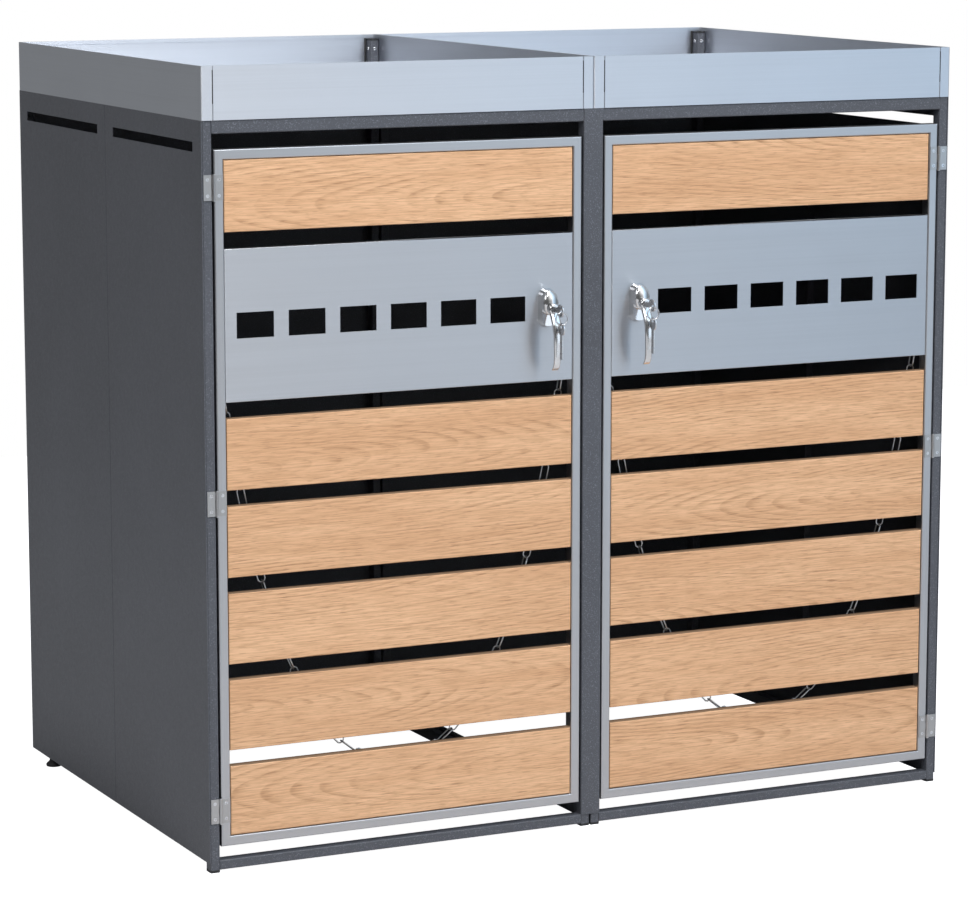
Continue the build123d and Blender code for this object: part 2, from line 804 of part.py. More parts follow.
def keys():
    """Lock plug with its key, the ring through the key's bow, and the spare key that hangs from it."""
    slot_play = 2 * running_clearance
    ring_y = hub_front - key_neck - bow_radius - bow_hole_offset
    hang = bow_hole_radius - ring_wire_radius - ring_play
    ring_z = lock_z - hang - ring_radius
    spare_hole_z = ring_z - ring_radius - hang
    with BuildPart() as plug:
        with BuildSketch(facing(lock_x, hub_front, lock_z, 1)):
            Circle(plug_radius)
            Rectangle(key_thickness + slot_play, key_blade_width + slot_play, mode=Mode.SUBTRACT)
        extrude(amount=plug_depth)
    upright = Plane(origin=(lock_x, hub_front, lock_z), x_dir=(0, -1, 0), z_dir=(1, 0, 0))
    with BuildPart(upright) as key:
        add(key_outline(plug_depth, bow_hole_offset))
        extrude(amount=key_thickness / 2, both=True)
    with BuildPart(Plane(origin=(lock_x, ring_y, ring_z), z_dir=(0, 1, 0))) as ring:
        Torus(ring_radius, ring_wire_radius)
    bow_hole_x = key_neck + bow_radius + bow_hole_offset
    hanging = Plane(origin=(lock_x, ring_y, spare_hole_z - bow_hole_x), x_dir=(0, 0, 1), z_dir=(1, 0, 0))
    with BuildPart(hanging) as spare:
        add(key_outline(key_blade_length, bow_hole_offset))
        extrude(amount=key_thickness / 2, both=True)
    return [plug.part, key.part, ring.part, spare.part]


# Chain

chain_y = front + door_tube_depth + chain_clear + chain_inner_width / 2 + 2 * chain_wire_radius
chain_low_z = door_low + chain_low
chain_end_z = panel_low + chain_end_rise
chain_middle = (door_left + door_right) / 2
chain_half_span = (door_right - door_left - door_tube_face) / 2


def hanging_curve(half_span, rise):
    """The size of the hanging curve that climbs a given rise over half its span, found by halving."""
    low, high = half_span / HALVINGS, half_span * HALVINGS
    for _ in range(HALVINGS):
        size = (low + high) / 2
        if size * (cosh(half_span / size) - 1) > rise:
            low = size
        else:
            high = size
    return size


chain_curve = hanging_curve(chain_half_span, chain_end_z - chain_low_z)


def chain_point(arc):
    """The place on the hanging curve at a length along it from its lowest point, and its slope."""
    across = chain_curve * asinh(arc / chain_curve)
    rise = chain_curve * (cosh(across / chain_curve) - 1)
    return chain_middle + across, chain_low_z + rise, degrees(atan(arc / chain_curve))


def chain_ends():
    """Where the two end screws stand on the stiles."""
    half_length = chain_curve * sinh(chain_half_span / chain_curve)
    return [chain_point(side * half_length)[:2] for side in (-1, 1)]


def chain_link(x, z, slope, flat):
    """One long link: two straight wires joined by half rings, in the door's plane or across it."""
    reach = chain_inner_width / 2 + chain_wire_radius
    straight = chain_pitch - chain_inner_width
    tilt = radians(slope)
    along = (cos(tilt), 0, sin(tilt))
    normal = (0, -1, 0) if flat else (-sin(tilt), 0, cos(tilt))
    place = Plane(origin=(x, chain_y, z), x_dir=along, z_dir=normal)
    start = place.from_local_coords((0, reach, 0))
    with BuildPart() as link:
        with BuildLine(place) as loop:
            Line((straight / 2, -reach), (-straight / 2, -reach))
            ThreePointArc((-straight / 2, -reach), (-straight / 2 - reach, 0), (-straight / 2, reach))
            Line((-straight / 2, reach), (straight / 2, reach))
            ThreePointArc((straight / 2, reach), (straight / 2 + reach, 0), (straight / 2, -reach))
        with BuildSketch(Plane(origin=start, x_dir=place.z_dir, z_dir=along)):
            Circle(chain_wire_radius)
        sweep(path=loop.wires()[0])
    return link.part


def chain_screw(x, z):
    """The shoulder screw in the back of a stile that carries one end of the chain."""
    y_stile = front + door_tube_depth
    shoulder = chain_y + 2 * chain_wire_radius - y_stile
    with BuildPart() as screw:
        with BuildSketch(facing(x, y_stile - 2 * tube_wall, z, 1)):
            Circle(chain_pin_radius)
        extrude(amount=shoulder + 2 * tube_wall)
        with BuildSketch(facing(x, y_stile + shoulder, z, 1)):
            Circle(chain_pin_head_radius)
        extrude(amount=chain_pin_head_height)
    return screw.part


def chain():
    half_length = chain_curve * sinh(chain_half_span / chain_curve)
    end_arc = half_length - (chain_pitch / 2 - chain_pin_radius - chain_slack)
    links_each_way = ceil(end_arc / (chain_pitch - chain_slack))
    step = end_arc / links_each_way
    links = []
    for n in range(-links_each_way, links_each_way + 1):
        links.append(chain_link(*chain_point(n * step), flat=(links_each_way - n) % 2 == 0))
    return links


save_pair("door_frame", door_frame())
board_pitch = board_height + board_gap
board_tops = [infill_top] + [panel_low - board_gap - n * board_pitch for n in range(lower_boards)]
for number, z_top in enumerate(board_tops, start=1):
    save_pair(f"door_board_{number}", [board(z_top)])
save_pair("window_panel", [window_panel()])
save_pair("lock_housing", lock_housing())
save_pair("handle", handle())
save_pair("lock_cam", cam())
save_pair("keys", keys())
hinge_screws = [hinge_screw(hinge_x + screw_offset, z) for z in hinge_screw_heights]
save_pair("door_screws", hinge_screws + [chain_screw(x, z) for x, z in chain_ends()])
save_pair("chain", chain())
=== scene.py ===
"""Finishes, small fittings, stage and camera of the bin store with planter, in metres."""

import math

import bmesh
import bpy
from bpy.props import FloatProperty, FloatVectorProperty, PointerProperty
from mathutils import Matrix, Vector


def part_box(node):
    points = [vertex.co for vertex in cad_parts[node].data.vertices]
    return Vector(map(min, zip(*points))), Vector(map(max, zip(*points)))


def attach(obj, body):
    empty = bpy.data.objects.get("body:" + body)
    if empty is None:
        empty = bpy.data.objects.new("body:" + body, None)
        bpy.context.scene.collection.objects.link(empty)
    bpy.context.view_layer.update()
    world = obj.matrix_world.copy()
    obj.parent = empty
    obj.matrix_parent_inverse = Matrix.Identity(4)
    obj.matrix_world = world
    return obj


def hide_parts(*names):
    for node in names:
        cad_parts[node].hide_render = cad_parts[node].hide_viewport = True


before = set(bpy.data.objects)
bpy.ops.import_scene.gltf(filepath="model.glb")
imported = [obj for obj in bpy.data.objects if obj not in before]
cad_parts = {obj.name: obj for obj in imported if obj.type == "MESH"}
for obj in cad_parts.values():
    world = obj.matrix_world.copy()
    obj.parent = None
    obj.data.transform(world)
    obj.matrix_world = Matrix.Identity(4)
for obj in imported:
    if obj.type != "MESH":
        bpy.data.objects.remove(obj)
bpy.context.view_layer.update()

bl_info = {
    "name": "Bin Store Dressing",
    "version": (1, 0, 0),
    "blender": (4, 5, 0),
    "location": "3D View > Sidebar > Bin Store",
    "description": "Finishes, fittings and stage of a double bin store with planter",
    "category": "Object",
}

SIDES = ("left", "right")
BOARD_COUNT = 6
WHITE = (1.0, 1.0, 1.0)
FULL_CIRCLE = 360.0
QUARTER_TURN = math.pi / 2
SMOOTH_ANGLE = math.radians(40)

# The least share of a face's normal along the axis that it looks along
SQUARE_ON = 0.99

# The search for a hanging curve: its steps, and the widest ratio of the curve's size to half its span
HALVINGS = 60
WIDEST_RATIO = 60.0

# Sockets of the Mix node for each kind of data: factor, first, second and result
MIX_SOCKETS = {"RGBA": (0, 6, 7, 2), "FLOAT": (0, 2, 3, 0)}

# Brush marks per metre along and across the brushing, and the turn that draws reflections out across it
BRUSH_ALONG = 4.0
BRUSH_ACROSS = 1400.0
BRUSH_TURN = 0.25

# Pebbles per metre in powder coat and plastic, pebbles for each cloud on plated metal, and their heights
COAT_PEBBLES = 620.0
PLASTIC_PEBBLES = 1600.0
PEBBLES_PER_CLOUD = 30.0
PEBBLE_HEIGHTS = (0.4, 1.1)

# How far the painted glints of the powder coat, light specks that stand in for highlights, stand out from its
# colour
PAINTED_GLINT_LIGHTNESS = 3.0

# How far the roughness of brushed steel varies
STEEL_SPREAD = 0.03

# Plated metal: least roughness, how far it varies, and clouds of handling per metre
PLATES = {
    "chrome_plate": (0.06, 0.10, 22.0),
    "zinc_plate": (0.20, 0.18, 60.0),
    "bright_screw_plate": (0.22, 0.16, 80.0),
    "chain_plate": (0.34, 0.14, 90.0),
    "planter_screw_plate": (0.20, 0.14, 90.0),
}

# How much brighter than the keys the screws and the chains are; the chains' lighter zinc is painted light
SCREW_LIGHTNESS = 1.2
CHAIN_PAINTED_LIGHTNESS = 1.4

# Patterns in the oak: scale along the grain, scale across it, detail and seed
OAK_PATTERNS = {
    "wave": (2.2, 4.0, 1.0, 3.0),
    "ripple": (12.0, 40.0, 2.0, 5.0),
    "fibre": (18.0, 440.0, 3.0, 11.0),
    "break": (4.0, 36.0, 2.0, 13.0),
    "tone": (2.0, 22.0, 3.0, 7.0),
    "pore": (42.0, 560.0, 2.0, 17.0),
    "edge_tone": (60.0, 500.0, 2.0, 23.0),
}

# What sets the boards apart: a step in number from door to door, and the timber that they are cut from
DOOR_STEP = 31.0
TIMBER_LENGTH = 40.0

# Soft boxes, by the stage setting that gives their power: place, width and height
LAMPS = {
    "key": ((-0.3, -3.4, 5.2), 1.0, 3.0),
    "fill": ((-4.4, -2.6, 3.8), 2.0, 2.0),
    "top": ((0.0, -0.4, 5.0), 3.5, 3.5),
}
LAMP_AIM = (0.0, 0.0, 0.6)

# The room round the object: degrees to the right of the front, light low down, light high up, warmth
ROOM = (
    (-180, 0.26, 0.06, 0.97),
    (-120, 0.30, 0.08, 0.97),
    (-90, 0.24, 0.46, 0.99),
    (-60, 0.12, 0.24, 0.99),
    (0, 0.12, 0.25, 0.99),
    (9, 0.34, 0.75, 1.02),
    (15, 0.42, 1.15, 1.03),
    (21, 0.48, 1.35, 1.05),
    (24, 0.84, 1.62, 1.00),
    (27, 1.46, 1.85, 0.86),
    (30, 1.24, 1.70, 0.68),
    (36, 1.11, 1.62, 0.62),
    (42, 0.80, 1.20, 0.61),
    (54, 0.22, 0.50, 0.80),
    (74, 0.30, 0.40, 0.88),
    (82, 0.85, 0.90, 0.90),
    (95, 0.70, 0.75, 0.92),
    (110, 0.26, 0.40, 0.95),
)

# Heights in the room, as the upward share of a direction, between which its light changes from low to high
ROOM_HEIGHTS = (0.04, 0.5)


def colour(name, note, value):
    """A colour that a user may change."""
    return FloatVectorProperty(
        name=name, description=note, subtype="COLOR", size=3, min=0.0, max=1.0, default=value
    )


def length(name, note, value):
    """A length in metres that a user may change."""
    return FloatProperty(name=name, description=note, unit="LENGTH", min=0.0, precision=5, default=value)


def share(name, note, value):
    """A share from 0 to 1 that a user may change."""
    return FloatProperty(name=name, description=note, subtype="FACTOR", min=0.0, max=1.0, default=value)


def power(name, note, value):
    """A lamp's power in watts that a user may change."""
    return FloatProperty(name=name, description=note, unit="POWER", min=0.0, default=value)


def angle(name, note, degrees):
    """An angle, given in degrees, that a user may change."""
    return FloatProperty(name=name, description=note, subtype="ANGLE", default=math.radians(degrees))


class BinStoreFinishes(bpy.types.PropertyGroup):
    """Colours and gloss of the finishes."""

    coat: colour("Coat", "Powder coat of the tubes and sheets", (0.076, 0.081, 0.096))
    coat_gloss: share("Coat roughness", "Roughness of the powder coat", 0.42)
    # The light specks of the coat are painted glints: highlights painted into its colour on the highest
    # pebbles
    coat_painted_glint: share("Coat specks", "Strength of the light specks in the powder coat", 0.7)
    planter_steel: colour("Planter steel", "Brushed sheet of the planters", (0.640, 0.668, 0.720))
    panel_steel: colour("Panel steel", "Brushed sheet of the window panels", (0.515, 0.532, 0.565))
    tube_steel: colour("Tube steel", "Brushed tubes of the door frames", (0.550, 0.558, 0.580))
    sheet_gloss: share("Sheet roughness", "Roughness of the brushed sheets", 0.38)
    brushing: share("Brushing", "How far the brushed sheets draw out reflections", 0.88)
    steel_gloss: share("Steel roughness", "Roughness of the tubes and hinges", 0.30)
    oak_light: colour("Oak light", "Light wood between the growth rings", (0.815, 0.509, 0.302))
    oak_warm: colour("Oak warm", "Broad warm tone of the wood", (0.714, 0.420, 0.237))
    oak_ring: colour("Oak ring", "Darker line of each growth ring", (0.430, 0.228, 0.112))
    oak_pore: colour("Oak pore", "Short pores along the grain", (0.300, 0.150, 0.072))
    # Board edge: the darker brown that every narrow face of a board gets
    oak_edge: colour("Board edge", "Brown core at the cut edges of the boards", (0.290, 0.185, 0.112))
    chrome: colour("Chrome", "Plating of the levers and their housings", (0.800, 0.805, 0.815))
    zinc: colour("Zinc", "Plating of chains, keys and small screws", (0.640, 0.650, 0.670))
    hinge: colour("Hinge steel", "Plain steel of the hinges", (0.500, 0.500, 0.505))
    plastic: colour("Plastic", "Moulded caps, feet, glides and seam strips", (0.018, 0.018, 0.020))


class BinStoreGrain(bpy.types.PropertyGroup):
    """Grain of the oak boards."""

    ring_spacing: length("Ring spacing", "Distance between two growth rings", 0.0054)
    ring_slant: share("Ring slant", "How steeply a board is cut through its rings", 0.11)
    ring_start: length("Ring start", "Least distance of a board from the heart of its rings", 0.006)
    heart_shift: length("Heart shift", "How far the heart may lie above or below a board's middle", 0.075)
    wave: length("Wave", "Reach of the slow waves in the rings", 0.022)
    ripple: length("Ripple", "Reach of the fine ripples in the rings", 0.0013)
    fibre_shade: share("Fibre shade", "Strength of the fine fibres", 0.42)
    ring_shade: share("Ring shade", "Strength of the growth rings", 0.68)
    pore_shade: share("Pore shade", "Strength of the short pores", 0.72)


class BinStoreFittings(bpy.types.PropertyGroup):
    """Sizes of the small fittings."""

    link_wire: length("Link wire", "Thickness of the chain's wire", 0.0024)
    link_width: length("Link width", "Inner width of a link", 0.010)
    link_pitch: length("Link pitch", "Inner length of a link", 0.030)
    link_play: length("Link play", "Slack between two links", 0.0003)
    pin_radius: length("Pin radius", "Radius of the screw that carries a chain end", 0.0018)
    chain_low: length("Chain low", "Lowest link above the foot of the door frame", 0.096)
    chain_end: length("Chain ends", "Chain ends above the foot of the window panel", 0.096)
    stile: length("Stile", "Face width of the door's tubes", 0.015)
    post: length("Post", "Face width of the corner posts", 0.015)
    head_radius: length("Screw head", "Radius of the planter screws' heads", 0.0032)
    head_height: length("Screw height", "Height of the planter screws' heads", 0.0019)
    head_drop: length("Screw drop", "Screws below the top of the corner posts", 0.014)
    sheet: length("Sheet", "Thickness of the planter walls", 0.0015)
    seam: length("Seam", "Gap between two planter walls at a corner", 0.0018)
    hem: length("Hem", "Height of the folded hem along the planter's rim", 0.006)
    strip_width: length("Strip width", "Width of the strip behind a seam", 0.0036)
    strip_depth: length("Strip depth", "Thickness of the strip behind a seam", 0.0012)
    strip_rib: length("Strip rib", "How far the strip's rib reaches into its seam", 0.0009)
    strip_play: length("Strip play", "Room round the strip and its rib", 0.0002)


class BinStoreStage(bpy.types.PropertyGroup):
    """Floor, lights and camera."""

    floor: colour("Floor", "Pale floor", (0.55, 0.55, 0.56))
    floor_size: length("Floor size", "Side of the square floor", 7.0)
    key: power("Key light", "Power of the large front light", 245.0)
    fill: power("Fill light", "Power of the light on the left", 62.0)
    top: power("Top light", "Power of the overhead light", 30.0)
    lens: FloatProperty(name="Lens", description="Focal length", unit="CAMERA", default=134.458)
    eye: FloatVectorProperty(
        name="Eye",
        description="Camera position",
        subtype="TRANSLATION",
        default=(-2.597343, -5.346684, 1.508008),
    )
    yaw: angle("Yaw", "Turn to the right", 25.892)
    pitch: angle("Pitch", "Tilt down", 9.245)


class Wiring:
    """Adds and joins the nodes of one shader tree."""

    def __init__(self, tree):
        self.tree = tree
        tree.nodes.clear()

    def feed(self, made, socket, value):
        """Join an output to a socket, or set the socket's own value."""
        target = made.inputs[socket]
        if isinstance(value, bpy.types.NodeSocket):
            self.tree.links.new(value, target)
        else:
            target.default_value = value

    def node(self, kind, settings=None, **inputs):
        """A new node with its settings and named inputs."""
        made = self.tree.nodes.new(kind)
        for name, value in (settings or {}).items():
            setattr(made, name, value)
        for name, value in inputs.items():
            self.feed(made, name.replace("_", " "), value)
        return made

    def row(self, kind, settings, values):
        """A node fed in the order of its sockets, and its first output."""
        made = self.node(kind, settings)
        for index, value in enumerate(values):
            self.feed(made, index, value)
        return made.outputs[0]

    def math(self, operation, *values):
        return self.row("ShaderNodeMath", {"operation": operation}, values)

    def vector(self, operation, *values):
        return self.row("ShaderNodeVectorMath", {"operation": operation}, values)

    def joined(self, *values):
        return self.row("ShaderNodeCombineXYZ", None, values)

    def axes(self, vector):
        return self.node("ShaderNodeSeparateXYZ", Vector=vector).outputs

    def centred(self, value, reach):
        """A value from 0 to 1, spread as far as the reach to both sides of zero."""
        return self.math("MULTIPLY_ADD", value, 2 * reach, -reach)

    def at_least(self, value, least):
        """A value from 0 to 1, lifted to run from the least to 1."""
        return self.math("MULTIPLY_ADD", value, 1.0 - least, least)

    def span(self, value, low, high, to_low=0.0, to_high=1.0):
        """A value between two limits, as a smooth step between two others."""
        settings = {"interpolation_type": "SMOOTHSTEP"}
        return self.row("ShaderNodeMapRange", settings, (value, low, high, to_low, to_high))

    def noise(self, vector, scale=1.0, detail=2.0, roughness=0.5):
        inputs = {"Vector": vector, "Scale": scale, "Detail": detail, "Roughness": roughness}
        return self.node("ShaderNodeTexNoise", None, **inputs).outputs[0]

    def mix(self, data_type, *values):
        """A Mix node fed with its factor and its two ends."""
        *sockets, result = MIX_SOCKETS[data_type]
        made = self.node("ShaderNodeMix", {"data_type": data_type})
        for socket, value in zip(sockets, values):
            self.feed(made, socket, value)
        return made.outputs[result]

    def blend(self, factor, first, second):
        """A colour between two others."""
        return self.mix("RGBA", factor, rgba(first), rgba(second))

    def either(self, factor, first, second):
        """A number between two others."""
        return self.mix("FLOAT", factor, first, second)

    def mottle(self, mask, tone, dark, light):
        """A tone that runs from darker to lighter with a mask."""
        return self.blend(mask, tinted(tone, dark), tinted(tone, light))


def rgba(value):
    """A colour with its alpha, or the socket that gives one."""
    return value if isinstance(value, bpy.types.NodeSocket) else (*value[:3], 1.0)


def tinted(value, factor):
    """A colour made lighter or darker."""
    return tuple(min(1.0, channel * factor) for channel in value)


def shared_effect(name, outputs, **numbers):
    """A node group fed by a vector and some numbers: its wiring, its inlet's outputs and its outlet."""
    tree = bpy.data.node_groups.new(name, "ShaderNodeTree")
    tree.interface.new_socket("Vector", in_out="INPUT", socket_type="NodeSocketVector")
    for socket, value in numbers.items():
        made = tree.interface.new_socket(socket, in_out="INPUT", socket_type="NodeSocketFloat")
        made.default_value = value
    for socket in outputs:
        tree.interface.new_socket(socket, in_out="OUTPUT", socket_type="NodeSocketFloat")
    wiring = Wiring(tree)
    return wiring, wiring.node("NodeGroupInput").outputs, wiring.node("NodeGroupOutput")


def coat_grain_effect():
    """Fine pebbled skin of powder coat, moulded plastic and plating, and a mask of its highest pebbles for
    painted glints.
    """
    wiring, inlet, outlet = shared_effect("coat_grain", ("Height", "Speck"), Density=COAT_PEBBLES)
    swell_share, swell_height = 0.23, 0.5
    pebbles = wiring.noise(inlet["Vector"], inlet["Density"], roughness=0.55)
    swells = wiring.math("MULTIPLY", inlet["Density"], swell_share)
    swell = wiring.noise(inlet["Vector"], swells, detail=1.0)
    wiring.feed(outlet, "Height", wiring.math("MULTIPLY_ADD", swell, swell_height, pebbles))
    # The highest pebbles give the mask for painted glints, highlights painted into the powder coat's colour
    wiring.feed(outlet, "Speck", wiring.span(pebbles, low=0.56, high=0.72))
    return wiring.tree


def brush_marks_effect():
    """Long fine scratches: the vector runs slowly along the brushing and fast across it."""
    wiring, inlet, outlet = shared_effect("brush_marks", ("Streak", "Band"))
    middle_scale, broad_scale, middle_share = (0.6, 0.22, 0.22), (0.4, 0.045, 0.045), 0.6
    fine = wiring.noise(inlet["Vector"], roughness=0.6)
    middle = wiring.noise(wiring.vector("MULTIPLY", inlet["Vector"], middle_scale), detail=1.0)
    broad = wiring.noise(wiring.vector("MULTIPLY", inlet["Vector"], broad_scale))
    fine = wiring.math("MULTIPLY", fine, 1.0 - middle_share)
    wiring.feed(outlet, "Streak", wiring.math("MULTIPLY_ADD", middle, middle_share, fine))
    wiring.feed(outlet, "Band", broad)
    return wiring.tree


def handling_effect():
    """Soft clouds of wiping and handling."""
    wiring, inlet, outlet = shared_effect("handling", ("Cloud",), Density=6.0)
    cloud = wiring.noise(inlet["Vector"], inlet["Density"], detail=4.0, roughness=0.6)
    wiring.feed(outlet, "Cloud", wiring.span(cloud, low=0.35, high=0.68))
    return wiring.tree


EFFECTS = {"coat_grain": coat_grain_effect, "brush_marks": brush_marks_effect, "handling": handling_effect}


class Finish:
    """A material with one Principled shader, read from the part's own coordinates."""

    def __init__(self, name):
        self.material = bpy.data.materials.new(name)
        self.material.use_nodes = True
        self.wiring = Wiring(self.material.node_tree)
        self.shader = self.wiring.node("ShaderNodeBsdfPrincipled")
        self.wiring.node("ShaderNodeOutputMaterial", Surface=self.shader.outputs[0])
        self.place = self.wiring.node("ShaderNodeTexCoord").outputs["Object"]

    def effect(self, name, vector=None, **numbers):
        """The outputs of a shared effect, which is built at its first use."""
        tree = bpy.data.node_groups.get(name) or EFFECTS[name]()
        vector = self.place if vector is None else vector
        return self.wiring.node("ShaderNodeGroup", {"node_tree": tree}, Vector=vector, **numbers).outputs

    def set(self, **values):
        """Feed the shader's sockets by name."""
        for socket, value in values.items():
            self.wiring.feed(self.shader, socket.replace("_", " "), value)

    def bump(self, height, distance, strength):
        """Relief of a given depth, in metres."""
        made = self.wiring.node("ShaderNodeBump", None, Strength=strength, Distance=distance, Height=height)
        self.set(Normal=made.outputs[0])

    def facing(self, axis):
        """How squarely a face looks along one axis, from 0 to 1."""
        normal = self.wiring.node("ShaderNodeNewGeometry").outputs["Normal"]
        return self.wiring.math("ABSOLUTE", self.wiring.axes(normal)[axis])


def coat_finish(settings):
    """Anthracite powder coat with a fine grain and painted glints: light specks on its highest pebbles stand
    in for highlights.
    """
    made = Finish("anthracite_powder_coat")
    wiring = made.wiring
    grain = made.effect("coat_grain", Density=COAT_PEBBLES)
    cloud = made.effect("handling", Density=3.0)["Cloud"]
    tone = wiring.mottle(cloud, settings.coat, dark=0.94, light=1.06)
    # Painted glints: the highest pebbles take a much lighter coat colour, as highlights painted in
    painted_glint = wiring.math("MULTIPLY", grain["Speck"], settings.coat_painted_glint)
    made.set(Base_Color=wiring.blend(painted_glint, tone, tinted(settings.coat, PAINTED_GLINT_LIGHTNESS)))
    smooth, rough = settings.coat_gloss - 0.06, settings.coat_gloss + 0.08
    made.set(Roughness=wiring.span(grain["Height"], *PEBBLE_HEIGHTS, to_low=smooth, to_high=rough))
    made.bump(grain["Height"], distance=0.0004, strength=0.7)
    return made.material


def brushed(made, across):
    """Coordinates that run slowly along the brushing, as X, and fast across the two named axes."""
    wiring = made.wiring
    axes = wiring.axes(made.place)
    along = next(axis for axis in "XYZ" if axis not in across)
    slow = wiring.math("MULTIPLY", axes[along], BRUSH_ALONG)
    fast = [wiring.math("MULTIPLY", axes[axis], BRUSH_ACROSS) for axis in across]
    return wiring.joined(slow, *fast)


def steel_shading(made, tone, gloss, streak, band):
    """Colour, gloss and scratches of brushed steel from its two streak values."""
    wiring = made.wiring
    cloud = made.effect("handling", Density=4.0)["Cloud"]
    band_share, band_lightness = 0.5, 1.03
    base = wiring.mottle(wiring.span(streak, low=0.3, high=0.7), tone, dark=0.97, light=1.02)
    light = wiring.math("MULTIPLY", wiring.span(band, low=0.3, high=0.7), band_share)
    made.set(Base_Color=wiring.blend(light, base, tinted(tone, band_lightness)), Metallic=1.0)
    smooth, rough = gloss - STEEL_SPREAD, gloss + STEEL_SPREAD
    scratched = wiring.span(streak, low=0.25, high=0.75, to_low=smooth, to_high=rough)
    made.set(Roughness=wiring.math("MULTIPLY_ADD", cloud, STEEL_SPREAD, scratched))
    made.bump(streak, distance=0.00002, strength=0.2)
    return made.material


def sheet_finish(name, tone, gloss, across, brushing=0.0):
    """Brushed steel sheet that draws out reflections across its brushing."""
    made = Finish(name)
    marks = made.effect("brush_marks", brushed(made, across))
    made.set(Anisotropic=brushing, Anisotropic_Rotation=BRUSH_TURN)
    return steel_shading(made, tone, gloss, marks["Streak"], marks["Band"])


def door_tube_finish(settings):
    """Brushed tube of the door frames: each bar is brushed along its length, up to the mitres."""
    made = Finish("brushed_door_tube")
    wiring = made.wiring
    low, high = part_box("left_door_frame")
    x, _, z = wiring.axes(made.place)
    from_middle = wiring.math("SUBTRACT", wiring.math("ABSOLUTE", x), abs(low.x + high.x) / 2)
    to_side = wiring.math("SUBTRACT", (high.x - low.x) / 2, wiring.math("ABSOLUTE", from_middle))
    from_middle = wiring.math("SUBTRACT", z, (low.z + high.z) / 2)
    to_end = wiring.math("SUBTRACT", (high.z - low.z) / 2, wiring.math("ABSOLUTE", from_middle))
    upright = wiring.math("LESS_THAN", to_side, to_end)
    level_marks = made.effect("brush_marks", brushed(made, "YZ"))
    upright_marks = made.effect("brush_marks", brushed(made, "XY"))
    streak, band = (
        wiring.either(upright, level_marks[name], upright_marks[name]) for name in ("Streak", "Band")
    )
    return steel_shading(made, settings.tube_steel, settings.steel_gloss, streak, band)


